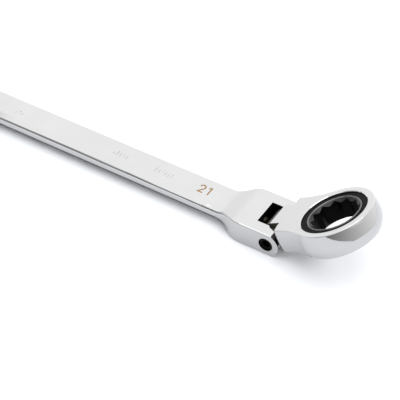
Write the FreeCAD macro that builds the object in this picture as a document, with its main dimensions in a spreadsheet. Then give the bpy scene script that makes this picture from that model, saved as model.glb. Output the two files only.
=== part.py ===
# Flex-head ratcheting combination wrench, 21 mm, millimetres.
# Reference frame: +X runs along the shank towards the ring head, +Z is up,
# the origin is the middle of the bottom of the whole tool as it lies.
# The hinge line of the ring head is parallel to Y.
import FreeCAD, Part
import Sketcher
import math, os
from FreeCAD import Vector, Rotation, Placement

os.makedirs("parts", exist_ok=True)
doc = FreeCAD.newDocument("FlexRatchetWrench")

# ------------------------------------------------------------------ sizes
D = {}
NOTE = {}
sheet = doc.addObject("Spreadsheet::Sheet", "Dims")

TABLE = [
    # hinge
    ("pin_x", 91.27, "hinge line, distance in front of the origin"),
    ("pin_z", 6.28, "hinge line height above the base"),
    ("flex_rest", 30.0, "angle of the ring head above the shank, degrees"),
    # fork of the shank
    ("fork_hw", 13.85, "half width of the fork"),
    ("fork_ht", 6.28, "half thickness of the fork"),
    ("fork_end_r", 6.7, "rounded end of the ears about the hinge line"),
    ("slot_hw", 7.36, "half width of the slot"),
    ("slot_back", 8.28, "hinge line to the back of the slot"),
    ("fork_start", 14.4, "hinge line to where the full fork starts"),
    ("fork_bev", 0.4, "edge bevel of the fork"),
    ("edge_r", 0.45, "rounding of the long edges"),
    ("side_r", 2.4, "rounding between bevels and sides of the bar"),
    ("bar_end", 31.4, "hinge line to where the bar starts to swell"),
    # bar
    ("bar_hw", 9.5, "half width of the bar"),
    ("bar_ht", 4.9, "half thickness of the bar at the open end"),
    ("bar_ht_b", 3.04, "half thickness of the bar at the fork"),
    ("bev_a", 3.0, "bevel of the bar at the open end"),
    ("bev_b", 1.6, "bevel width of the bar at the fork"),
    ("side_b", 2.25, "half height of the flat side at the fork"),
    ("bar_start", 172.0, "hinge line to where the bar taper starts"),
    ("neck_len", 6.0, "plain length of bar before the open end"),
    # open end
    ("jaw_c", 211.5, "hinge line to the middle of the jaw"),
    ("jaw_r", 22.3, "outline radius of the open end"),
    ("jaw_hw", 10.55, "half opening of the jaw"),
    ("jaw_tilt", 15.0, "offset angle of the open end"),
    ("jaw_tip", 17.6, "jaw middle to the cut-off tips"),
    ("jaw_floor", 5.2, "jaw middle to the floor of the jaw"),
    # pivot screw
    ("cb_r", 3.68, "counterbore for the screw head"),
    ("cb_deep", 3.95, "counterbore depth"),
    ("scr_hr", 3.58, "screw head radius"),
    ("scr_in", 0.6, "screw head below the ear face"),
    ("scr_r", 2.75, "screw shoulder radius"),
    ("scr_tr", 2.5, "screw thread radius"),
    ("hex_af", 4.0, "hexagon socket across flats"),
    ("hex_deep", 2.3, "hexagon socket depth"),
    ("ear_hole_r", 2.8, "clearance hole in the near ear"),
    ("tang_hole_r", 2.8, "hinge hole in the tang"),
    # detent
    ("ball_r", 2.4, "detent ball radius"),
    ("ball_bore_r", 2.45, "detent bore radius"),
    ("ball_x", 8.53, "hinge line to the ball centre"),
    ("bore_end", 17.5, "hinge line to the bottom of the detent bore"),
    ("notch_r", 2.45, "notch radius"),
    ("notch_c", 8.5, "hinge line to the centre of a notch"),
    # ring head
    ("ring_c", 35.17, "hinge line to the middle of the ring"),
    ("top_z", 7.5, "upper face of the head above its middle plane"),
    ("bot_z", 5.3, "lower face below the middle plane"),
    ("rim_r", 19.8, "edge of the upper face"),
    ("rim_mid_r", 20.75, "largest radius of the barrel"),
    ("rim_bot_r", 19.25, "edge of the lower face"),
    ("open_r", 16.3, "opening in the upper face"),
    ("open_ch", 0.3, "edge break of the opening"),
    ("groove_r", 17.0, "groove for the snap ring"),
    ("groove_lo", 5.6, "lower side of the snap ring groove"),
    ("groove_hi", 6.8, "upper side of the snap ring groove"),
    ("bore_r", 15.5, "gear chamber radius"),
    ("lip_r", 14.95, "bearing lip radius"),
    ("lip_z", 3.3, "top of the bearing lip below the middle plane"),
    ("tang_hw", 7.16, "half width of the tang"),
    ("tang_r", 6.2, "rounded knuckle of the tang about the hinge line"),
    ("shoulder", 7.4, "hinge line to the shoulders"),
    # pawl pocket
    ("pawl_z", 1.15, "middle of the pawl above the middle plane"),
    ("pocket_x", 12.3, "hinge line to the back of the pawl pocket"),
    ("pocket_hw", 4.6, "half width of the pawl pocket"),
    ("pocket_hh", 3.1, "half height of the pawl pocket"),
    ("spring_hole_r", 1.5, "pawl spring hole radius"),
    ("spring_hole_x", 5.4, "hinge line to the bottom of the pawl spring hole"),
    # gear
    ("tip_r", 15.4, "gear tip radius"),
    ("root_r", 14.8, "gear root radius"),
    ("teeth", 90, "gear teeth"),
    ("gear_hi", 5.55, "top of the toothed band"),
    ("gear_lo", 3.25, "bottom of the toothed band below the middle plane"),
    ("hub_r", 13.5, "gear hub inside the snap ring"),
    ("hub_z", 7.0, "top of the gear hub"),
    ("journal_r", 14.9, "gear journal radius"),
    ("journal_z", 4.9, "bottom of the gear journal below the middle plane"),
    ("bore_af", 21.2, "twelve-point bore across flats"),
    ("lead_r", 12.95, "lead-in chamfer radius"),
    ("lead_out_r", 13.9, "lead-out chamfer radius"),
    ("lead_out_z", 3.0, "top of the lead-out chamfer below the middle plane"),
    # snap ring
    ("sr_or", 16.92, "snap ring outer radius"),
    ("sr_ir", 13.6, "snap ring inner radius"),
    ("sr_lo", 5.62, "snap ring underside"),
    ("sr_hi", 6.74, "snap ring top"),
    ("sr_gap", 0.45, "half gap of the snap ring"),
    # pawl
    ("pawl_hw", 4.5, "half width of the pawl"),
    ("pawl_hh", 3.0, "half height of the pawl"),
    ("pawl_back", 13.15, "hinge line to the back of the pawl"),
    ("mesh_gap", 0.06, "play between the pawl and gear teeth"),
    # springs
    ("ps_r", 1.1, "pawl spring coil radius"),
    ("ps_w", 0.22, "pawl spring wire radius"),
    ("ps_len", 7.1, "pawl spring height between wire centres"),
    ("ps_pitch", 1.2, "pawl spring pitch"),
    ("ds_r", 1.6, "detent spring coil radius"),
    ("ds_w", 0.3, "detent spring wire radius"),
    ("ds_len", 6.05, "detent spring height between wire centres"),
    ("ds_pitch", 1.21, "detent spring pitch"),
    # size number
    ("num_x", 45.9, "hinge line to the left of the number"),
    ("num_y", -2.35, "lower edge of the number"),
    ("num_h", 5.7, "height of the number"),
    ("num_floor", 2.85, "engraved floor above the middle of the bar"),
    ("num_fill", 0.19, "paint thickness"),
]
for i, (alias, value, note) in enumerate(TABLE):
    row = i + 1
    D[alias] = float(value)
    sheet.set("A%d" % row, alias)
    sheet.set("B%d" % row, repr(float(value)))
    sheet.set("C%d" % row, note)
    sheet.setAlias("B%d" % row, alias)
doc.recompute()


def val(e):
    """Number of an expression made of size names and + - * / and brackets."""
    if isinstance(e, (int, float)):
        return float(e)
    total, sign, num = 0.0, 1.0, ""
    for tok in e.replace("-", " - ").replace("+", " + ").split():
        if tok == "+":
            sign = 1.0
        elif tok == "-":
            sign = -1.0
        else:
            f = 1.0
            for k, bit in enumerate(tok.split("*")):
                f *= D[bit] if bit in D else float(bit)
            total += sign * f
            sign = 1.0
    return total


def expr(e):
    """The same expression written against the sheet."""
    out = []
    for tok in e.replace("-", " - ").replace("+", " + ").split():
        if tok in "+-":
            out.append(tok)
        else:
            out.append("*".join("Dims." + b if b in D else b for b in tok.split("*")))
    s = " ".join(out)
    if s.startswith("- "):
        s = "-1*" + s[2:]
    return s


def names_in(e):
    return isinstance(e, str) and any(
        b in D for tok in e.replace("-", " ").replace("+", " ").split() for b in tok.split("*"))


def plane_of(body, role):
    for o in body.Origin.OriginFeatures:
        if o.Role == role:
            return o
    raise RuntimeError(role)


def new_body(label):
    b = doc.addObject("PartDesign::Body", label)
    b.Label = label
    return b


def sketch(body, name, role, offset=None, rot=None):
    sk = body.newObject("Sketcher::SketchObject", name)
    sk.AttachmentSupport = [(plane_of(body, role), "")]
    sk.MapMode = "FlatFace"
    if offset is not None or rot is not None:
        v = offset or (0, 0, 0)
        sk.AttachmentOffset = Placement(Vector(*[val(c) for c in v]), rot or Rotation())
        for ax, c in zip("xyz", v):
            if names_in(c):
                sk.setExpression("AttachmentOffset.Base." + ax, expr(c))
    return sk


def pin_point(sk, geo, pos, x, y):
    """Tie one end point to its two sizes."""
    for axis, e in (("X", x), ("Y", y)):
        v = val(e)
        if abs(v) < 1e-9:
            sk.addConstraint(Sketcher.Constraint("PointOnObject", geo, pos, -2 if axis == "X" else -1))
        else:
            c = sk.addConstraint(Sketcher.Constraint("Distance" + axis, -1, 1, geo, pos, v))
            if names_in(e):
                sk.setExpression("Constraints[%d]" % c, expr(e))


def outline(sk, verts, arcs=None, tie=True):
    """Closed outline through verts; arcs maps an edge number to (radius, side)
    with side +1 bulging to the left of the edge direction, -1 to the right."""
    arcs = arcs or {}
    n = len(verts)
    P = [Vector(val(x), val(y), 0) for x, y in verts]
    ends = []
    for i in range(n):
        a, b = P[i], P[(i + 1) % n]
        if i in arcs:
            r, side = arcs[i]
            rv = val(r)
            mid = (a + b) * 0.5
            ab = b - a
            half = ab.Length / 2.0
            nrm = Vector(-ab.y, ab.x, 0)
            nrm.normalize()
            dist = math.sqrt(max(rv * rv - half * half, 0.0))
            c = mid - nrm * (dist * side)
            a0 = math.atan2(a.y - c.y, a.x - c.x)
            a1 = math.atan2(b.y - c.y, b.x - c.x)
            circ = Part.Circle(c, Vector(0, 0, 1), rv)
            if side < 0:
                g = sk.addGeometry(Part.ArcOfCircle(circ, a0, a1), False)
                ends.append((g, 1, 2))
            else:
                g = sk.addGeometry(Part.ArcOfCircle(circ, a1, a0), False)
                ends.append((g, 2, 1))
            if names_in(r) and tie:
                k = sk.addConstraint(Sketcher.Constraint("Radius", g, rv))
                sk.setExpression("Constraints[%d]" % k, expr(r))
        else:
            g = sk.addGeometry(Part.LineSegment(a, b), False)
            ends.append((g, 1, 2))
    for i in range(n):
        g0, _, e0 = ends[i]
        g1, s1, _ = ends[(i + 1) % n]
        sk.addConstraint(Sketcher.Constraint("Coincident", g0, e0, g1, s1))
    if tie:
        for i, (x, y) in enumerate(verts):
            g, s, _ = ends[i]
            pin_point(sk, g, s, x, y)
    return sk


def circle(sk, x, y, r):
    g = sk.addGeometry(Part.Circle(Vector(val(x), val(y), 0), Vector(0, 0, 1), val(r)), False)
    k = sk.addConstraint(Sketcher.Constraint("Radius", g, val(r)))
    if names_in(r):
        sk.setExpression("Constraints[%d]" % k, expr(r))
    if abs(val(x)) < 1e-9 and abs(val(y)) < 1e-9:
        sk.addConstraint(Sketcher.Constraint("Coincident", g, 3, -1, 1))
    else:
        pin_point(sk, g, 3, x, y)
    return sk


def pad(body, sk, length, name, mid=False, rev=False):
    f = body.newObject("PartDesign::Pad", name)
    f.Profile = sk
    f.Length = val(length)
    if names_in(length):
        f.setExpression("Length", expr(length))
    f.Midplane = mid
    f.Reversed = rev
    return f


def pocket(body, sk, length, name, mid=False, rev=False):
    f = body.newObject("PartDesign::Pocket", name)
    f.Profile = sk
    f.Length = val(length)
    if names_in(length):
        f.setExpression("Length", expr(length))
    f.Midplane = mid
    f.Reversed = rev
    return f


def turn(body, sk, kind, name):
    f = body.newObject("PartDesign::" + kind, name)
    f.Profile = sk
    f.ReferenceAxis = (sk, ["V_Axis"])
    f.Angle = 360.0
    return f


def loft(body, first, rest, name, ruled=False):
    f = body.newObject("PartDesign::AdditiveLoft", name)
    f.Profile = first
    f.Sections = rest
    f.Ruled = ruled
    f.Closed = False
    return f


def edges_at(shape, test):
    return ["Edge%d" % (i + 1) for i, e in enumerate(shape.Edges) if test(e)]


LOG = []


def step(obj, what):
    doc.recompute()
    v = obj.Shape.Volume
    LOG.append((what, round(v, 2)))
    print("%-28s %10.2f" % (what, v))
    return v


PIN = Placement(Vector(D["pin_x"], 0, D["pin_z"]), Rotation())
HEAD = PIN.multiply(Placement(Vector(0, 0, 0), Rotation(Vector(0, -1, 0), D["flex_rest"])))


def seat(body, pl, head=False):
    body.Placement = pl
    return body


# ------------------------------------------------------------------ number
def stroke_outline(pts, w):
    """Closed outline of a stroke of width w along an open line of points."""
    left, right = [], []
    n = len(pts)
    for i, (x, y) in enumerate(pts):
        if i == 0:
            tx, ty = pts[1][0] - x, pts[1][1] - y
            l = math.hypot(tx, ty)
            nx, ny, k = -ty / l, tx / l, 1.0
        elif i == n - 1:
            tx, ty = x - pts[-2][0], y - pts[-2][1]
            l = math.hypot(tx, ty)
            nx, ny, k = -ty / l, tx / l, 1.0
        else:
            ax, ay = x - pts[i - 1][0], y - pts[i - 1][1]
            bx, by = pts[i + 1][0] - x, pts[i + 1][1] - y
            la, lb = math.hypot(ax, ay), math.hypot(bx, by)
            n1 = (-ay / la, ax / la)
            n2 = (-by / lb, bx / lb)
            nx, ny = n1[0] + n2[0], n1[1] + n2[1]
            l = math.hypot(nx, ny)
            nx, ny = nx / l, ny / l
            k = 1.0 / max(nx * n1[0] + ny * n1[1], 0.35)
        left.append((x + nx * k * w / 2, y + ny * k * w / 2))
        right.append((x - nx * k * w / 2, y - ny * k * w / 2))
    return left + right[::-1]


def digit_outlines():
    h = D["num_h"]
    w = 0.12 * h
    r = 0.25 * h
    cx, cy = 0.31 * h, h - r - w / 2
    two = [(cx + r * math.cos(math.radians(a)), cy + r * math.sin(math.radians(a)))
           for a in (172, 150, 128, 106, 84, 62, 40, 18, -4, -26)]
    two += [(0.13 * h, w / 2), (0.60 * h, w / 2)]
    one = [(1.05 * h, 0.0), (1.05 * h + w, 0.0), (1.05 * h + w, h), (1.06 * h, h),
           (0.88 * h, 0.87 * h), (0.88 * h, 0.73 * h), (1.05 * h, 0.83 * h)]
    outs = []
    for o in (stroke_outline(two, w), one):
        outs.append([(-D["num_x"] + x, D["num_y"] + y) for x, y in o])
    return outs


# ------------------------------------------------------------------ shank
shank = new_body("shank")


def neg(e):
    if not isinstance(e, str):
        return -e
    return "-" + e.replace("-", "#").replace("+", "-").replace("#", "+")


def section(body, name, x, hw, tw, ht, hs, r, rs):
    """Cross section of the bar: flat top and bottom, four bevels, flat sides.
    r rounds the corners of the flat faces, rs those between bevel and side."""
    P = [(tw, ht), (hw, hs), (hw, neg(hs)), (tw, neg(ht)),
         (neg(tw), neg(ht)), (neg(hw), neg(hs)), (neg(hw), hs), (neg(tw), ht)]
    V = [Vector(val(a), val(b), 0) for a, b in P]
    # half turn at the two kinds of corner, and the room on the bevel
    dy, dz = val(hw) - val(tw), val(ht) - val(hs)
    flat = math.atan2(dz, dy) / 2
    side = (math.pi / 2 - 2 * flat) / 2
    room = 0.96 * math.hypot(dy, dz) - val(r) * math.tan(flat)
    if val(rs) * math.tan(side) > room:
        rs = room / math.tan(side)
    if val(rs) * math.tan(side) > 0.9 * val(hs):
        rs = 0.9 * val(hs) / math.tan(side)
    sk = sketch(body, name, "YZ_Plane", (0, 0, x))
    verts, arcs = [], {}
    for i, v in enumerate(V):
        p, n = (V[i - 1] - v).normalize(), (V[(i + 1) % 8] - v).normalize()
        rad, half = (r, flat) if i in (0, 3, 4, 7) else (rs, side)
        d = val(rad) * math.tan(half)
        a, b = v + p * d, v + n * d
        # the point on a flat face keeps the size of that face
        pa, pb = [a.x, a.y], [b.x, b.y]
        if i == 0 or i == 4:
            pa[1] = P[i][1]
        elif i == 3 or i == 7:
            pb[1] = P[i][1]
        elif i == 1 or i == 5:
            pb[0] = P[i][0]
        else:
            pa[0] = P[i][0]
        arcs[len(verts)] = (rad, 1)
        verts += [tuple(pa), tuple(pb)]
    return outline(sk, verts, arcs)


# straight bar, thinner towards the fork
BAR = [("-bar_start", "bar_ht", 6.5, 1.9), (-161.6, 4.74, 6.52, 1.91), (-131.8, 4.27, 6.88, 1.97),
       (-99.8, 3.78, 7.32, 2.05), (-69.3, 3.40, 7.62, 2.14), (-46.0, 3.16, 7.80, 2.21)]
ss = [section(shank, "bar_%d" % k, x, "bar_hw", tw, ht, hs, "edge_r", "side_r") for k, (x, ht, tw, hs) in enumerate(BAR)]
ss.append(section(shank, "bar_fork", "-bar_end-4.6", "bar_hw", "bar_hw-bev_b-0.03", "bar_ht_b+0.035", "side_b-0.01", "edge_r", "side_r"))
loft(shank, ss[0], ss[1:], "bar")
step(shank, "bar")

# shoulder that swells from the bar into the fork; it leaves the bar and meets
# the fork with no crease, and the bevel narrows on the way
secs = [section(shank, "swell_a", "-bar_end-4.6", "bar_hw", "bar_hw-bev_b-0.03", "bar_ht_b+0.035", "side_b-0.01", "edge_r", "side_r"),
        section(shank, "swell_b", "-bar_end-2.3", "bar_hw", "bar_hw-bev_b-0.015", "bar_ht_b+0.016", "side_b-0.005", "edge_r", "side_r")]
for k in range(11):
    t = k / 10.0
    s = t * t * t * (6 * t * t - 15 * t + 10)
    x = -D["bar_end"] + t * (D["bar_end"] - D["fork_start"])
    hw = D["bar_hw"] + s * (D["fork_hw"] - D["bar_hw"])
    ht = D["bar_ht_b"] + s * (D["fork_ht"] - D["bar_ht_b"])
    bw = D["bev_b"] + s * (D["fork_bev"] - D["bev_b"])
    bh = D["bar_ht_b"] - D["side_b"] + s * (D["fork_bev"] - D["bar_ht_b"] + D["side_b"])
    rs = D["side_r"] + s * (D["edge_r"] - D["side_r"])
    secs.append(section(shank, "swell_%d" % k, x, hw, hw - bw, ht, ht - bh, "edge_r", rs))
for k, dx in enumerate((1.0, 2.0)):
    secs.append(section(shank, "swell_f%d" % k, "-fork_start+%.1f" % dx, "fork_hw", "fork_hw-fork_bev", "fork_ht", "fork_ht-fork_bev", "edge_r", "edge_r"))
loft(shank, secs[0], secs[1:], "swell")
step(shank, "swell")

# fork block
fs = section(shank, "fork_section", "-fork_start+2.0", "fork_hw", "fork_hw-fork_bev", "fork_ht", "fork_ht-fork_bev", "edge_r", "edge_r")
pad(shank, fs, "fork_start-2.0+fork_end_r", "fork")
step(shank, "fork")

# plain length before the open end
sl = section(shank, "bar_plain", "-bar_start", "bar_hw", "bar_hw-bev_a", "bar_ht", "bar_ht-bev_a", "edge_r", "side_r")
pad(shank, sl, "neck_len", "bar_plain_pad", rev=True)
step(shank, "plain bar")

# open end: a flat-sided middle layer and a bevelled layer above and below it
Rj, Rc = D["jaw_r"], 24.0
dy = D["bar_hw"] + Rc
dx = math.sqrt((Rj + Rc) ** 2 - dy ** 2)
xt = -D["jaw_c"] + dx
tx, ty = -D["jaw_c"] + dx * Rj / (Rj + Rc), dy * Rj / (Rj + Rc)


def open_outline(name, z):
    sk = sketch(shank, name, "XY_Plane", (0, 0, z))
    return outline(sk, [("-bar_start-1", "bar_hw"), (xt, "bar_hw"), (tx, ty), (-D["jaw_c"] - Rj, 0.0),
                        (tx, -ty), (xt, "-bar_hw"), ("-bar_start-1", "-bar_hw")],
                   {1: (Rc, 1), 2: ("jaw_r", -1), 3: ("jaw_r", -1), 4: (Rc, 1)})


pad(shank, open_outline("open_middle", 0), "bar_ht-bev_a+bar_ht-bev_a", "open_middle_pad", mid=True)
step(shank, "open end middle")
for name, z, rev in (("open_upper", "bar_ht-bev_a", False), ("open_lower", "bev_a-bar_ht", True)):
    f = pad(shank, open_outline(name, z), "bev_a", name + "_pad", rev=rev)
    f.TaperAngle = -45.0
    step(shank, name)

# jaw
tilt = Rotation(Vector(0, 0, 1), D["jaw_tilt"])
sj = sketch(shank, "jaw", "XY_Plane", ("-jaw_c", 0, 0), tilt)
outline(sj, [(-40.0, "jaw_hw"), ("jaw_floor-6", "jaw_hw"), ("jaw_floor", "jaw_hw-6"),
             ("jaw_floor", "6-jaw_hw"), ("jaw_floor-6", "-jaw_hw"), (-40.0, "-jaw_hw")],
        {1: (6.0, 1), 3: (6.0, 1)})
pocket(shank, sj, "bar_ht*4", "jaw_cut", mid=True)
step(shank, "jaw")
st = sketch(shank, "jaw_tips", "XY_Plane", ("-jaw_c", 0, 0), tilt)
outline(st, [(-40.0, -30.0), ("-jaw_tip", -30.0), ("-jaw_tip", 30.0), (-40.0, 30.0)])
pocket(shank, st, "bar_ht*4", "tips_cut", mid=True)
step(shank, "jaw tips")

# rounded end of the ears
se = sketch(shank, "ear_end", "XZ_Plane")
ex = math.sqrt(D["fork_end_r"] ** 2 - (D["fork_ht"] + 0.3) ** 2)
outline(se, [(ex, "fork_ht+0.3"), (9.0, "fork_ht+0.3"), (9.0, "-fork_ht-0.3"), (ex, "-fork_ht-0.3")],
        {3: ("fork_end_r", -1)}, tie=True)
pocket(shank, se, "fork_hw*4", "ear_round", mid=True)
step(shank, "ear ends")

# slot for the tang
ss = sketch(shank, "slot", "XY_Plane")
outline(ss, [("-slot_back", "-slot_hw"), (12.0, "-slot_hw"), (12.0, "slot_hw"), ("-slot_back", "slot_hw")])
pocket(shank, ss, "fork_ht*4", "slot_cut", mid=True)
step(shank, "slot")

# screw holes: counterbore and clearance in the near ear, thread core in the far ear
sc = circle(sketch(shank, "counterbore", "XZ_Plane", (0, 0, "fork_hw")), 0, 0, "cb_r")
pocket(shank, sc, "cb_deep", "counterbore_cut")
step(shank, "counterbore")
sh = circle(sketch(shank, "ear_hole", "XZ_Plane", (0, 0, "fork_hw")), 0, 0, "ear_hole_r")
pocket(shank, sh, "fork_hw", "ear_hole_cut")
step(shank, "near ear hole")
sf = circle(sketch(shank, "far_hole", "XZ_Plane"), 0, 0, "scr_tr")
pocket(shank, sf, "fork_hw+1", "far_hole_cut")
step(shank, "far ear hole")

# detent bore in the floor of the slot
sb = circle(sketch(shank, "detent_bore", "YZ_Plane", (0, 0, "-slot_back")), 0, 0, "ball_bore_r")
pocket(shank, sb, "bore_end-slot_back", "detent_bore_cut")
step(shank, "detent bore")

# engraved size number
sn = sketch(shank, "number", "XY_Plane", (0, 0, "num_floor+1"))
for o in digit_outlines():
    outline(sn, o, tie=False)
pocket(shank, sn, 1.0, "number_cut")
step(shank, "number")

# ------------------------------------------------------------------ head
head = new_body("head_housing")
sr = sketch(head, "barrel", "XZ_Plane", ("ring_c", 0, 0))
zm = 0.5
rt = ((D["top_z"] - 0.4 - zm) ** 2 + (D["rim_mid_r"] - D["rim_r"]) ** 2) / (2 * (D["rim_mid_r"] - D["rim_r"]))
rb = ((D["bot_z"] - 0.7 + zm) ** 2 + (D["rim_mid_r"] - D["rim_bot_r"]) ** 2) / (2 * (D["rim_mid_r"] - D["rim_bot_r"]))
outline(sr, [(10.0, "top_z"), ("rim_r-0.4", "top_z"), ("rim_r", "top_z-0.4"), ("rim_mid_r", zm),
             ("rim_bot_r", "0.7-bot_z"), ("rim_bot_r-0.6", "-bot_z"), (10.0, "-bot_z")],
        {1: (0.42, 1), 2: (rt, 1), 3: (rb, 1), 4: (0.75, 1)}, tie=True)
turn(head, sr, "Revolution", "barrel_turn")
step(head, "barrel")


def neck(name, x, tw, mw, bw):
    """Cross section of the neck with bulging sides."""
    sk = sketch(head, name, "YZ_Plane", (0, 0, x))
    T, M, B = D["top_z"], 0.5, D["bot_z"]
    r1 = ((T - M) ** 2 + (mw - tw) ** 2) / (2 * (mw - tw))
    r2 = ((B + M) ** 2 + (mw - bw) ** 2) / (2 * (mw - bw))
    xt = mw - r1 + math.sqrt(r1 * r1 - (T - 0.4 - M) ** 2)
    xb = mw - r2 + math.sqrt(r2 * r2 - (B - 0.5 + M) ** 2)
    outline(sk, [(xt - 0.4, "top_z"), (xt, "top_z-0.4"), (mw, M), (xb, "0.5-bot_z"), (xb - 0.5, "-bot_z"),
                 (0.5 - xb, "-bot_z"), (-xb, "0.5-bot_z"), (-mw, M), (-xt, "top_z-0.4"), (0.4 - xt, "top_z")],
            {0: (0.42, 1), 1: (r1, 1), 2: (r2, 1), 3: (0.55, 1), 5: (0.55, 1), 6: (r2, 1), 7: (r1, 1), 8: (0.42, 1)})
    return sk


nk = [neck("neck_0", "shoulder", 13.55, 14.0, 13.2),
      neck("neck_1", 11.0, 13.6, 14.1, 13.3),
      neck("neck_2", 15.0, 13.95, 14.6, 13.7),
      neck("neck_3", 19.0, 14.8, 15.6, 14.5),
      neck("neck_4", 23.0, 16.1, 17.1, 15.8),
      neck("neck_5", 27.0, 17.7, 18.8, 17.4)]
loft(head, nk[0], nk[1:], "neck_loft")
step(head, "neck")

# shoulders fall away towards the sides
for name, sgn in (("shoulder_near", -1), ("shoulder_far", 1)):
    sd = sketch(head, name, "XY_Plane")
    outline(sd, [("shoulder-2", sgn * 8.0), ("shoulder", sgn * 8.0), ("shoulder+1.5", sgn * 15.0), ("shoulder-2", sgn * 15.0)])
    pocket(head, sd, "top_z*4", name + "_cut", mid=True)
    step(head, name)

# face of the shoulders: leans back at the top and is rounded off at the bottom
for name, off, rev in (("shoulder_face_near", "tang_hw+8", False), ("shoulder_face_far", "-tang_hw-8", True)):
    sd = sketch(head, name, "XZ_Plane", (0, 0, off))
    outline(sd, [("shoulder-1", -6.0), ("shoulder+2.4", -6.0), ("shoulder+1.6", "-bot_z"), ("shoulder+0.5", "1.5-bot_z"),
                 ("shoulder", "3.8-bot_z"), ("shoulder", 2.5), ("shoulder+0.6", "top_z"), ("shoulder+0.7", "top_z+1"),
                 ("shoulder-1", "top_z+1")])
    pocket(head, sd, 8.0, name + "_cut", rev=rev)
    step(head, name)

sg = sketch(head, "tang", "XZ_Plane")
ka = math.radians(100.0)
outline(sg, [(D["tang_r"] * math.cos(ka), D["tang_r"] * math.sin(ka)), (2.0, "top_z"), ("shoulder+2", "top_z"),
             ("shoulder+2", "-bot_z"), (4.2, "-bot_z"), (0.0, "-tang_r"), ("-tang_r", 0.0)],
        {5: ("tang_r", 1), 6: ("tang_r", 1)}, tie=True)
pad(head, sg, "tang_hw+tang_hw", "tang_pad", mid=True)
step(head, "tang")

# gear chamber, bearing lip, snap ring groove and opening
sx = sketch(head, "chamber", "XZ_Plane", ("ring_c", 0, 0))
outline(sx, [(0.0, "-bot_z-1"), ("lip_r", "-bot_z-1"), ("lip_r", "-lip_z"), ("bore_r", "-lip_z"),
             ("bore_r", "groove_lo"), ("groove_r", "groove_lo"), ("groove_r", "groove_hi"),
             ("open_r", "groove_hi"), ("open_r", "top_z-open_ch"), ("open_r+open_ch", "top_z"),
             ("open_r+open_ch", "top_z+1"), (0.0, "top_z+1")])
turn(head, sx, "Groove", "chamber_turn")
step(head, "chamber")

sp = sketch(head, "pawl_pocket", "XY_Plane", (0, 0, "pawl_z"))
outline(sp, [("pocket_x", "-pocket_hw"), (24.0, "-pocket_hw"), (24.0, "pocket_hw"), ("pocket_x", "pocket_hw")])
pocket(head, sp, "pocket_hh+pocket_hh", "pawl_pocket_cut", mid=True)
step(head, "pawl pocket")
sq = circle(sketch(head, "spring_hole", "YZ_Plane", (0, 0, "pocket_x")), 0, "pawl_z", "spring_hole_r")
pocket(head, sq, "pocket_x-spring_hole_x", "spring_hole_cut")
step(head, "spring hole")
sv = circle(sketch(head, "hinge_hole", "XZ_Plane"), 0, 0, "tang_hole_r")
pocket(head, sv, "tang_hw*4", "hinge_hole_cut", mid=True)
step(head, "hinge hole")

# row of notches round the end of the tang, one every 15 degrees
sw = circle(sketch(head, "notch", "XZ_Plane"), 0, "notch_c", "notch_r")
n0 = pocket(head, sw, "tang_hw*4", "notch_cut", mid=True)
doc.recompute()
head.Tip = n0
pp = head.newObject("PartDesign::PolarPattern", "notch_row")
pp.Originals = [n0]
pp.Axis = (sw, ["N_Axis"])
pp.Angle = 180.0
pp.Occurrences = 13
pp.Reversed = False
head.Tip = pp
step(head, "notches")

# ------------------------------------------------------------------ gear
gear = new_body("drive_gear")
gs = sketch(gear, "blank", "XZ_Plane")
outline(gs, [(0.0, "-journal_z"), ("journal_r-0.3", "-journal_z"), ("journal_r", "0.3-journal_z"),
             ("journal_r", "-gear_lo"), ("tip_r", "-gear_lo"), ("tip_r", "gear_hi"), ("hub_r", "gear_hi"),
             ("hub_r", "hub_z-0.25"), ("hub_r-0.25", "hub_z"), (0.0, "hub_z")])
turn(gear, gs, "Revolution", "blank_turn")
step(gear, "gear blank")
gt = sketch(gear, "tooth_gap", "XY_Plane", (0, 0, "-gear_lo"))
ga = math.radians(1.8)
gr = D["tip_r"]
go = gr + 0.5
gslope = (gr - D["root_r"]) / ga
outline(gt, [("-root_r", 0.0), (-gr * math.cos(ga), gr * math.sin(ga)), (-go, go * math.sin(ga) + 0.25),
             (-go, -go * math.sin(ga) - 0.25), (-gr * math.cos(ga), -gr * math.sin(ga))])
gc = pocket(gear, gt, "gear_lo+gear_hi", "tooth_gap_cut", rev=True)
doc.recompute()
gear.Tip = gc
gp = gear.newObject("PartDesign::PolarPattern", "teeth_row")
gp.Originals = [gc]
gp.Axis = (gt, ["N_Axis"])
gp.Angle = 360.0
gp.Occurrences = int(D["teeth"])
gp.setExpression("Occurrences", "Dims.teeth")
gear.Tip = gp
step(gear, "gear teeth")
gb = sketch(gear, "twelve_point", "XY_Plane")
a = D["bore_af"] / 2
ro, ri = a / math.cos(math.radians(30)), a / math.cos(math.radians(15))
pts = []
for k in range(12):
    # corner of the double hexagon, slightly rounded by two short facets
    for d in (-1.2, 1.2):
        t = math.radians(30 * k + d)
        pts.append(((ro - 0.12) * math.cos(t), (ro - 0.12) * math.sin(t)))
    t = math.radians(30 * k + 15)
    pts.append((ri * math.cos(t), ri * math.sin(t)))
outline(gb, pts, tie=False)
pocket(gear, gb, "hub_z*4", "twelve_point_cut", mid=True)
step(gear, "twelve-point bore")
gl = sketch(gear, "lead_in", "XZ_Plane")
outline(gl, [(0.0, "hub_z+0.2"), ("lead_r+0.2", "hub_z+0.2"), ("lead_r-2.2", "hub_z-2.0"), (0.0, "hub_z-2.0")])
turn(gear, gl, "Groove", "lead_in_top")
gm = sketch(gear, "lead_out", "XZ_Plane")
outline(gm, [(0.0, "-journal_z-1"), (0.0, "-lead_out_z"), ("lead_out_r-3.4", "-lead_out_z"),
             ("lead_out_r", "-journal_z"), ("lead_out_r", "-journal_z-1")])
turn(gear, gm, "Groove", "lead_in_bottom")
step(gear, "lead-in chamfers")

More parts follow.
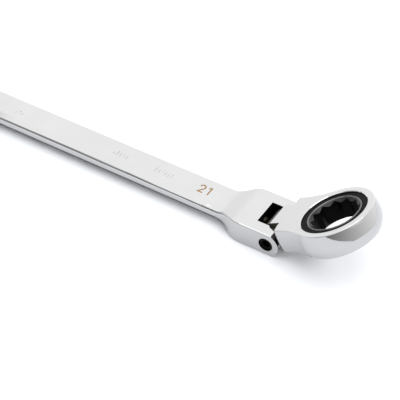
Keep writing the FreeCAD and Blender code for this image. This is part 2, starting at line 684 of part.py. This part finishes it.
# ------------------------------------------------------------------ snap ring
snap = new_body("gear_snap_ring")
r0 = sketch(snap, "ring_section", "XZ_Plane")
outline(r0, [("sr_ir", "sr_lo"), ("sr_or", "sr_lo"), ("sr_or", "sr_hi"), ("sr_ir+0.2", "sr_hi"), ("sr_ir", "sr_hi-0.2")])
turn(snap, r0, "Revolution", "ring_turn")
step(snap, "snap ring")
r1 = sketch(snap, "ring_gap", "XY_Plane")
outline(r1, [(10.0, "-sr_gap"), (20.0, "-sr_gap"), (20.0, "sr_gap"), (10.0, "sr_gap")])
pocket(snap, r1, "sr_hi*4", "ring_gap_cut", mid=True)
step(snap, "snap ring gap")

# ------------------------------------------------------------------ pawl
pawl = new_body("pawl")
pk = sketch(pawl, "pawl_outline", "XY_Plane", ("ring_c", 0, "pawl_z"))
g = D["mesh_gap"]
front = []
for k in range(-4, 5):
    c = 180.0 + 4.0 * k
    front.append((c - 1.8, D["tip_r"] + g)) if k > -4 else None
    front.append((c, D["root_r"] + g))
    front.append((c + 1.8, D["tip_r"] + g)) if k < 4 else None
fp = [(r * math.cos(math.radians(t)), r * math.sin(math.radians(t))) for t, r in front]
# first point is at +Y side, the last at the -Y side
xe = fp[0][0] - 0.5
outline(pk, fp + [(xe, "-pawl_hw"), ("pawl_back-ring_c+0.5", "-pawl_hw"), ("pawl_back-ring_c", "0.5-pawl_hw"),
                  ("pawl_back-ring_c", "pawl_hw-0.5"), ("pawl_back-ring_c+0.5", "pawl_hw"), (xe, "pawl_hw")],
        tie=False)
pad(pawl, pk, "pawl_hh+pawl_hh", "pawl_pad", mid=True)
step(pawl, "pawl")

# ------------------------------------------------------------------ screw
screw = new_body("pivot_screw")
c0 = sketch(screw, "screw_section", "XY_Plane")
outline(c0, [(0.0, "scr_in-fork_hw"), ("scr_hr-0.4", "scr_in-fork_hw"), ("scr_hr", "scr_in-fork_hw+0.4"),
             ("scr_hr", "cb_deep-fork_hw-0.02"), ("scr_r", "cb_deep-fork_hw-0.02"), ("scr_r", "slot_hw-0.04"),
             ("scr_tr", "slot_hw-0.04"), ("scr_tr", "fork_hw-0.7"), ("scr_tr-0.5", "fork_hw-0.2"),
             (0.0, "fork_hw-0.2")])
turn(screw, c0, "Revolution", "screw_turn")
step(screw, "screw")
c1 = sketch(screw, "hex_socket", "XZ_Plane", (0, 0, "fork_hw-scr_in"))
hr = D["hex_af"] / 2 / math.cos(math.radians(30))
outline(c1, [(hr * math.cos(math.radians(60 * k)), hr * math.sin(math.radians(60 * k))) for k in range(6)], tie=False)
pocket(screw, c1, "hex_deep", "hex_socket_cut")
step(screw, "hexagon socket")

# ------------------------------------------------------------------ detent ball
ball = new_body("detent_ball")
b0 = sketch(ball, "half_disc", "XZ_Plane")
gA = b0.addGeometry(Part.ArcOfCircle(Part.Circle(Vector(0, 0, 0), Vector(0, 0, 1), D["ball_r"]),
                                     -math.pi / 2, math.pi / 2), False)
gB = b0.addGeometry(Part.LineSegment(Vector(0, D["ball_r"], 0), Vector(0, -D["ball_r"], 0)), False)
b0.addConstraint(Sketcher.Constraint("Coincident", gA, 2, gB, 1))
b0.addConstraint(Sketcher.Constraint("Coincident", gB, 2, gA, 1))
b0.addConstraint(Sketcher.Constraint("Coincident", gA, 3, -1, 1))
b0.addConstraint(Sketcher.Constraint("PointOnObject", gA, 1, -2))
kk = b0.addConstraint(Sketcher.Constraint("Radius", gA, D["ball_r"]))
b0.setExpression("Constraints[%d]" % kk, "Dims.ball_r")
turn(ball, b0, "Revolution", "ball_turn")
step(ball, "ball")


# ------------------------------------------------------------------ springs
def coil(label, radius, wire, height, pitch):
    b = new_body(label)
    sk = circle(sketch(b, label + "_wire", "XZ_Plane"), radius, 0, wire)
    h = b.newObject("PartDesign::AdditiveHelix", label + "_coil")
    h.Profile = sk
    h.ReferenceAxis = (sk, ["V_Axis"])
    h.Mode = 0
    h.Pitch = D[pitch]
    h.Height = D[height]
    h.setExpression("Pitch", "Dims." + pitch)
    h.setExpression("Height", "Dims." + height)
    step(b, label)
    return b


pspring = coil("pawl_spring", "ps_r", "ps_w", "ps_len", "ps_pitch")
dspring = coil("detent_spring", "ds_r", "ds_w", "ds_len", "ds_pitch")

# ------------------------------------------------------------------ number paint
paint = new_body("size_number")
p0 = sketch(paint, "paint_outline", "XY_Plane", (0, 0, "num_floor"))
first, second = digit_outlines()
outline(p0, first, tie=False)
pad(paint, p0, "num_fill", "paint_pad")
step(paint, "first digit")
paint_b = new_body("size_number_second")
p1 = sketch(paint_b, "paint_outline_b", "XY_Plane", (0, 0, "num_floor"))
outline(p1, second, tie=False)
pad(paint_b, p1, "num_fill", "paint_pad_b")
step(paint_b, "second digit")

# ------------------------------------------------------------------ places
RING = HEAD.multiply(Placement(Vector(D["ring_c"], 0, 0), Rotation()))
ALONG = Rotation(Vector(0, 1, 0), 90)
seat(shank, PIN)
seat(head, HEAD)
seat(gear, RING)
seat(snap, RING)
seat(pawl, HEAD)
seat(screw, PIN)
seat(ball, PIN.multiply(Placement(Vector(-D["ball_x"], 0, 0), Rotation())))
seat(pspring, HEAD.multiply(Placement(Vector(D["spring_hole_x"] + 0.27, 0, D["pawl_z"]), ALONG)))
seat(dspring, PIN.multiply(Placement(Vector(-D["bore_end"] + 0.35, 0, 0), ALONG)))
seat(paint, PIN)
seat(paint_b, PIN)
doc.recompute()

# ------------------------------------------------------------------ check and write
bad = [o.Name for o in doc.Objects if any(w in o.State for w in ("Invalid", "Error"))]
if bad:
    raise RuntimeError("features with errors: " + ", ".join(bad))
parts = [("shank", [shank]), ("head_housing", [head]), ("drive_gear", [gear]), ("gear_snap_ring", [snap]),
         ("pawl", [pawl]), ("pawl_spring", [pspring]), ("pivot_screw", [screw]), ("detent_ball", [ball]),
         ("detent_spring", [dspring]), ("size_number", [paint, paint_b])]
for label, bodies in parts:
    shapes = [b.Shape for b in bodies]
    sh = shapes[0] if len(shapes) == 1 else Part.makeCompound(shapes)
    if sh.isNull() or not sh.isValid():
        raise RuntimeError("bad shape: " + label)
    sh.exportStep("parts/" + label + ".step")
    bb = sh.BoundBox
    print("%-16s solids %d vol %9.2f  x %.2f..%.2f y %.2f..%.2f z %.2f..%.2f" % (
        label, len(sh.Solids), sh.Volume, bb.XMin, bb.XMax, bb.YMin, bb.YMax, bb.ZMin, bb.ZMax))
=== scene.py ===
import bpy, bmesh, math
from mathutils import Vector, Matrix

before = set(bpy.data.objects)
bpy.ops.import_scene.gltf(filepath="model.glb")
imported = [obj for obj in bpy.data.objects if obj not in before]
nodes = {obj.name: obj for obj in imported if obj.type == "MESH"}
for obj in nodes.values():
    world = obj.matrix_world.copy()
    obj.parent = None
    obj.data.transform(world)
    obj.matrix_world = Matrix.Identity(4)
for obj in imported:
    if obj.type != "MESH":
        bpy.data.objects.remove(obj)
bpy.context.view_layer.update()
scene = bpy.context.scene


# ------------------------------------------------------------------ node helpers
class Mat:
    """Small helper round a node-based material."""

    def __init__(self, name):
        self.m = bpy.data.materials.new(name)
        self.m.use_nodes = True
        self.t = self.m.node_tree
        self.b = next(n for n in self.t.nodes if n.type == "BSDF_PRINCIPLED")

    def node(self, kind, **kw):
        n = self.t.nodes.new(kind)
        for k, v in kw.items():
            if k.startswith("_"):
                continue
            setattr(n, k, v)
        return n

    def link(self, a, b):
        self.t.links.new(a, b)

    def set(self, **kw):
        for k, v in kw.items():
            self.b.inputs[k.replace("_", " ")].default_value = v

    def coord(self):
        return self.node("ShaderNodeTexCoord").outputs["Object"]

    def noise(self, vec, scale, detail=3.0, rough=0.55, distortion=0.0):
        n = self.node("ShaderNodeTexNoise")
        n.inputs["Scale"].default_value = scale
        n.inputs["Detail"].default_value = detail
        n.inputs["Roughness"].default_value = rough
        n.inputs["Distortion"].default_value = distortion
        self.link(vec, n.inputs["Vector"])
        return n

    def ramp(self, fac, stops):
        r = self.node("ShaderNodeValToRGB")
        e = r.color_ramp.elements
        while len(e) < len(stops):
            e.new(0.5)
        for i, (p, c) in enumerate(stops):
            e[i].position = p
            e[i].color = (c, c, c, 1.0) if isinstance(c, (int, float)) else tuple(c) + (1.0,)
        self.link(fac, r.inputs["Fac"])
        return r

    def math(self, op, a, b=None):
        n = self.node("ShaderNodeMath", operation=op)
        for i, v in enumerate((a, b)):
            if v is None:
                continue
            if isinstance(v, (int, float)):
                n.inputs[i].default_value = v
            else:
                self.link(v, n.inputs[i])
        return n.outputs[0]

    def bump(self, height, strength, distance):
        n = self.node("ShaderNodeBump")
        n.inputs["Strength"].default_value = strength
        n.inputs["Distance"].default_value = distance
        self.link(height, n.inputs["Height"])
        self.link(n.outputs["Normal"], self.b.inputs["Normal"])
        return n


PIN = (0.09127, 0.0, 0.00628)
RING_L = 0.03517
C30, S30 = math.cos(math.radians(30.0)), math.sin(math.radians(30.0))


def split(k):
    """x, y, z of the part's own coordinates, x and z measured from the hinge."""
    sp = k.node("ShaderNodeSeparateXYZ")
    k.link(k.coord(), sp.inputs["Vector"])
    return (k.math("SUBTRACT", sp.outputs["X"], PIN[0]), sp.outputs["Y"], k.math("SUBTRACT", sp.outputs["Z"], PIN[2]))


def tilted(k, x, z):
    """Coordinates along and across the ring head."""
    lx = k.math("ADD", k.math("MULTIPLY", x, C30), k.math("MULTIPLY", z, S30))
    lz = k.math("SUBTRACT", k.math("MULTIPLY", z, C30), k.math("MULTIPLY", x, S30))
    return lx, lz


def both(k, *terms):
    out = terms[0]
    for t in terms[1:]:
        out = k.math("MULTIPLY", out, t)
    return out


def blend(k, fac, a, b):
    m = k.node("ShaderNodeMix", data_type="RGBA")
    k.link(fac, m.inputs["Factor"])
    for i, v in ((6, a), (7, b)):
        if isinstance(v, tuple):
            m.inputs[i].default_value = v + (1.0,)
        else:
            k.link(v, m.inputs[i])
    return m.outputs[2]


def put(obj, mat):
    obj.data.materials.clear()
    obj.data.materials.append(mat)


# ------------------------------------------------------------------ materials
def chrome(name, inside, marks=None):
    """Polished plating; inside(k) gives a mask of the unplated inner faces, darkened further as painted shade,
    marks(k) one of the faint etched dashes; with marks the bar's lower edge also gets painted shade."""
    k = Mat(name)
    k.set(Metallic=1.0)
    co = k.coord()
    big = k.noise(co, 60.0, 2.0)
    fine = k.noise(co, 900.0, 3.0, 0.6)
    c = k.ramp(big.outputs["Fac"], [(0.3, (0.465, 0.465, 0.467)), (0.7, (0.482, 0.482, 0.485))])
    mask, dark = inside(k)
    plate = c.outputs["Color"]
    if marks:
        plate = blend(k, marks(k), plate, (0.36, 0.358, 0.352))
        # painted shade on the bar's lower edge, standing for the reflection of the shadowed floor beneath it
        plate = blend(k, painted_shade_under_edge(k), plate, (0.060, 0.062, 0.066))
    k.link(blend(k, mask, plate, dark), k.b.inputs["Base Color"])
    r = k.ramp(fine.outputs["Fac"], [(0.3, 0.035), (0.75, 0.065)])
    m = k.node("ShaderNodeMix", data_type="FLOAT")
    k.link(mask, m.inputs[0])
    k.link(r.outputs["Color"], m.inputs[2])
    m.inputs[3].default_value = 0.30
    k.link(m.outputs[0], k.b.inputs["Roughness"])
    k.bump(big.outputs["Fac"], 0.12, 0.0004)
    return k.m


def shank_inside(k):
    x, y, z = split(k)
    ay = k.math("ABSOLUTE", y)
    slot = both(k, k.math("LESS_THAN", ay, 0.00741), k.math("GREATER_THAN", x, -0.00832))
    r = k.math("SQRT", k.math("ADD", k.math("MULTIPLY", x, x), k.math("MULTIPLY", z, z)))
    bore = both(k, k.math("LESS_THAN", r, 0.00371), k.math("LESS_THAN", y, -0.0080))
    # the slot and the pin bore: unplated inner faces, painted near black as shade
    return k.math("MAXIMUM", slot, bore), (0.020, 0.019, 0.018)


# plain rows of dashes on the flat of the bar: x from, x to, y from, y to, from the hinge
DASHES = [(-0.0712, -0.0609, -0.0017, 0.0017), (-0.0962, -0.0865, -0.0019, 0.0015), (-0.1573, -0.1527, -0.0037, -0.0003)]


def shank_marks(k):
    x, y, z = split(k)
    n = k.noise(k.coord(), 650.0, 2.0)
    dash = both(k, k.math("LESS_THAN", k.math("FRACT", k.math("MULTIPLY", x, 520.0)), 0.45),
                k.math("GREATER_THAN", n.outputs["Fac"], 0.47), k.math("GREATER_THAN", z, 0.0))
    rows = None
    for x0, x1, y0, y1 in DASHES:
        box = both(k, k.math("GREATER_THAN", x, x0), k.math("LESS_THAN", x, x1),
                   k.math("GREATER_THAN", y, y0), k.math("LESS_THAN", y, y1))
        rows = box if rows is None else k.math("MAXIMUM", rows, box)
    return k.math("MULTIPLY", both(k, dash, rows), 0.75)


def painted_shade_under_edge(k):
    """Painted shade: the lower edge of the bar, just above the bevel underneath, darkened to stand for the reflection
    of the shadowed floor beneath it.
    """
    x, y, z = split(k)
    ramp = k.math("MULTIPLY", k.math("SUBTRACT", -0.00065, z), 3000.0)
    ramp.node.use_clamp = True
    fade = k.math("MULTIPLY", k.math("SUBTRACT", -0.0205, x), 170.0)
    fade.node.use_clamp = True
    return both(k, ramp, fade, k.math("GREATER_THAN", x, -0.195),
                k.math("GREATER_THAN", k.math("ABSOLUTE", y), 0.0088))


def head_inside(k):
    x, y, z = split(k)
    ay = k.math("ABSOLUTE", y)
    lx, lz = tilted(k, x, z)
    # painted shade: the tang and the shoulders beside it, unplated steel darkened to stand for the shade inside the
    # fork
    tang = both(k, k.math("LESS_THAN", ay, 0.00718), k.math("LESS_THAN", lx, 0.00885), k.math("LESS_THAN", lz, 0.00745))
    # the shoulders, which fall away towards the sides
    fall = k.math("ADD", k.math("MULTIPLY", k.math("MAXIMUM", k.math("SUBTRACT", ay, 0.008), 0.0), 0.2143), 0.00775)
    shoulder = both(k, k.math("GREATER_THAN", ay, 0.00714), k.math("LESS_THAN", lx, fall))
    tang = k.math("MAXIMUM", tang, shoulder)
    # painted shade: a still darker band on the tang's side faces, between the ears of the fork
    side = both(k, k.math("GREATER_THAN", ay, 0.00714), k.math("LESS_THAN", ay, 0.00722))
    n = k.noise(k.coord(), 900.0, 3.0)
    c = k.ramp(n.outputs["Fac"], [(0.35, (0.05, 0.048, 0.042)), (0.65, (0.13, 0.125, 0.115))])
    dark = blend(k, side, c.outputs["Color"], (0.030, 0.028, 0.022))
    return tang, dark


def black_oxide(name, base, rough, deep=None, gloss=0.5, tint=1.0):
    """Blackened steel; deep(k) gives masks of the faces that get hardly any
    light, painted near black as shade, and of the cone of a lead-in chamfer, painted darker as shade."""
    k = Mat(name)
    k.set(Metallic=0.85, Specular_Tint=(tint, tint, tint, 1.0))
    co = k.coord()
    n = k.noise(co, 500.0, 4.0)
    c = k.ramp(n.outputs["Fac"], [(0.3, tuple(x * 0.8 for x in base)), (0.75, tuple(x * 1.3 for x in base))])
    r = k.ramp(n.outputs["Fac"], [(0.3, rough - 0.06), (0.7, rough + 0.08)])
    if deep:
        mask, cone = deep(k)
        # painted shade: the chamfer's cone darker and the bore near black, with less gloss in the bore
        col = blend(k, cone, c.outputs["Color"], (0.026, 0.026, 0.027))
        k.link(blend(k, mask, col, (0.0025, 0.0025, 0.0025)), k.b.inputs["Base Color"])
        sp = k.node("ShaderNodeMix", data_type="FLOAT")
        k.link(mask, sp.inputs[0])
        sp.inputs[2].default_value = gloss
        sp.inputs[3].default_value = 0.12
        k.link(sp.outputs[0], k.b.inputs["Specular IOR Level"])
    else:
        k.link(c.outputs["Color"], k.b.inputs["Base Color"])
        k.set(Specular_IOR_Level=gloss)
    k.link(r.outputs["Color"], k.b.inputs["Roughness"])
    k.bump(n.outputs["Fac"], 0.15, 0.0001)
    return k.m


def gear_deep(k):
    x, y, z = split(k)
    lx, lz = tilted(k, x, z)
    dx = k.math("SUBTRACT", lx, RING_L)
    r = k.math("SQRT", k.math("ADD", k.math("MULTIPLY", dx, dx), k.math("MULTIPLY", y, y)))
    # the bore, below the cone of the lead-in chamfer, painted near black as shade; the cone painted darker as shade
    cone = k.math("SUBTRACT", k.math("MULTIPLY", r, 0.9167), 0.004905)
    deep = both(k, k.math("LESS_THAN", r, 0.01243), k.math("LESS_THAN", lz, cone))
    return deep, k.math("LESS_THAN", r, 0.01262)


def ground_steel():
    k = Mat("ground_steel")
    k.set(Metallic=1.0)
    co = k.coord()
    n = k.noise(co, 700.0, 3.0)
    c = k.ramp(n.outputs["Fac"], [(0.3, (0.40, 0.40, 0.41)), (0.7, (0.50, 0.50, 0.51))])
    k.link(c.outputs["Color"], k.b.inputs["Base Color"])
    r = k.ramp(n.outputs["Fac"], [(0.3, 0.22), (0.7, 0.34)])
    k.link(r.outputs["Color"], k.b.inputs["Roughness"])
    return k.m


def orange_paint():
    k = Mat("number_paint")
    co = k.coord()
    n = k.noise(co, 1500.0, 3.0)
    c = k.ramp(n.outputs["Fac"], [(0.3, (0.16, 0.082, 0.012)), (0.7, (0.31, 0.160, 0.026))])
    k.link(c.outputs["Color"], k.b.inputs["Base Color"])
    k.set(Roughness=0.55, Specular_IOR_Level=0.2)
    k.bump(n.outputs["Fac"], 0.2, 0.00005)
    return k.m


put(nodes["shank"], chrome("polished_chrome_shank", shank_inside, shank_marks))
put(nodes["head_housing"], chrome("polished_chrome_head", head_inside))
put(nodes["drive_gear"], black_oxide("gear_oxide", (0.105, 0.105, 0.106), 0.30, gear_deep))
put(nodes["gear_snap_ring"], black_oxide("ring_oxide", (0.004, 0.004, 0.0045), 0.40, gloss=0.2, tint=0.6))
put(nodes["pivot_screw"], black_oxide("screw_oxide", (0.004, 0.004, 0.0045), 0.42, gloss=0.1))
STEEL = ground_steel()
for n in ("pawl", "pawl_spring", "detent_spring"):
    put(nodes[n], STEEL)
put(nodes["detent_ball"], black_oxide("ball_oxide", (0.020, 0.018, 0.012), 0.34))
put(nodes["size_number"], orange_paint())

# ------------------------------------------------------------------ floor
bm = bmesh.new()
bmesh.ops.create_grid(bm, x_segments=2, y_segments=2, size=2.5)
me = bpy.data.meshes.new("floor")
bm.to_mesh(me)
bm.free()
floor = bpy.data.objects.new("floor", me)
scene.collection.objects.link(floor)
k = Mat("floor_white")
k.set(Base_Color=(0.80, 0.815, 0.84, 1.0), Roughness=0.9)
put(floor, k.m)

# ------------------------------------------------------------------ studio surround
world = bpy.data.worlds.new("studio")
scene.world = world
world.use_nodes = True
wt = world.node_tree
wt.nodes.clear()
wo = wt.nodes.new("ShaderNodeOutputWorld")
bg = wt.nodes.new("ShaderNodeBackground")
tc = wt.nodes.new("ShaderNodeTexCoord")
sep = wt.nodes.new("ShaderNodeSeparateXYZ")
wt.links.new(tc.outputs["Generated"], sep.inputs["Vector"])


def wmath(op, a, b=None, clamp=False):
    n = wt.nodes.new("ShaderNodeMath")
    n.operation = op
    n.use_clamp = clamp
    for i, v in enumerate((a, b)):
        if v is None:
            continue
        if isinstance(v, (int, float)):
            n.inputs[i].default_value = v
        else:
            wt.links.new(v, n.inputs[i])
    return n.outputs[0]


def wramp(fac, stops):
    r = wt.nodes.new("ShaderNodeValToRGB")
    e = r.color_ramp.elements
    while len(e) < len(stops):
        e.new(0.5)
    for i, (p, c) in enumerate(stops):
        e[i].position = p
        e[i].color = tuple(c) + (1.0,)
    wt.links.new(fac, r.inputs["Fac"])
    return r.outputs["Color"]


# Plain soft studio surround: a dark side, a bright side and an even, light
# ceiling. Entries: degrees from +X towards +Y, brightness.
SIDES = [(-180, 1.0), (-100, 0.2), (0, 1.0), (110, 1.9), (180, 1.0)]
CEILING = 1.7

around = wmath("MULTIPLY_ADD", wmath("ARCTAN2", sep.outputs["Y"], sep.outputs["X"]), 1.0 / (2.0 * math.pi))
around.node.inputs[2].default_value = 0.5
sides = wramp(around, [((d + 180) / 360.0, (v, v, v)) for d, v in SIDES])
mixf = wmath("MULTIPLY", wmath("SUBTRACT", sep.outputs["Z"], 0.45), 6.0, True)
mix = wt.nodes.new("ShaderNodeMix")
mix.data_type = "RGBA"
wt.links.new(mixf, mix.inputs["Factor"])
wt.links.new(sides, mix.inputs[6])
mix.inputs[7].default_value = (CEILING, CEILING, CEILING, 1.0)
wt.links.new(mix.outputs[2], bg.inputs["Color"])
bg.inputs["Strength"].default_value = 1.0
wt.links.new(bg.outputs["Background"], wo.inputs["Surface"])


def area(name, loc, target, size, power, color=(1, 1, 1)):
    l = bpy.data.lights.new(name, "AREA")
    l.shape = "RECTANGLE"
    l.size, l.size_y = size
    l.energy = power
    l.color = color
    o = bpy.data.objects.new(name, l)
    scene.collection.objects.link(o)
    o.location = loc
    d = Vector(target) - Vector(loc)
    o.rotation_euler = d.to_track_quat("-Z", "Y").to_euler()
    return o


area("overhead", (0.05, 0.0, 1.3), (0.05, 0.0, 0.0), (1.0, 1.0), 4.5)

# ------------------------------------------------------------------ camera
CAM = (0.26998, -0.35570, 0.39776)
YAW, PITCH, FPX = 0.5613, 0.756, 1167.4
cam_data = bpy.data.cameras.new("camera")
cam = bpy.data.objects.new("camera", cam_data)
scene.collection.objects.link(cam)
cam.location = CAM
fwd = Vector((-math.sin(YAW) * math.cos(PITCH), math.cos(YAW) * math.cos(PITCH), -math.sin(PITCH)))
cam.rotation_euler = fwd.to_track_quat("-Z", "Y").to_euler()
cam_data.sensor_width = 36.0
cam_data.lens = FPX / 400.0 * 36.0
cam_data.clip_start = 0.01
cam_data.clip_end = 20.0
scene.camera = cam

scene.view_settings.view_transform = "Standard"
scene.view_settings.look = "None"
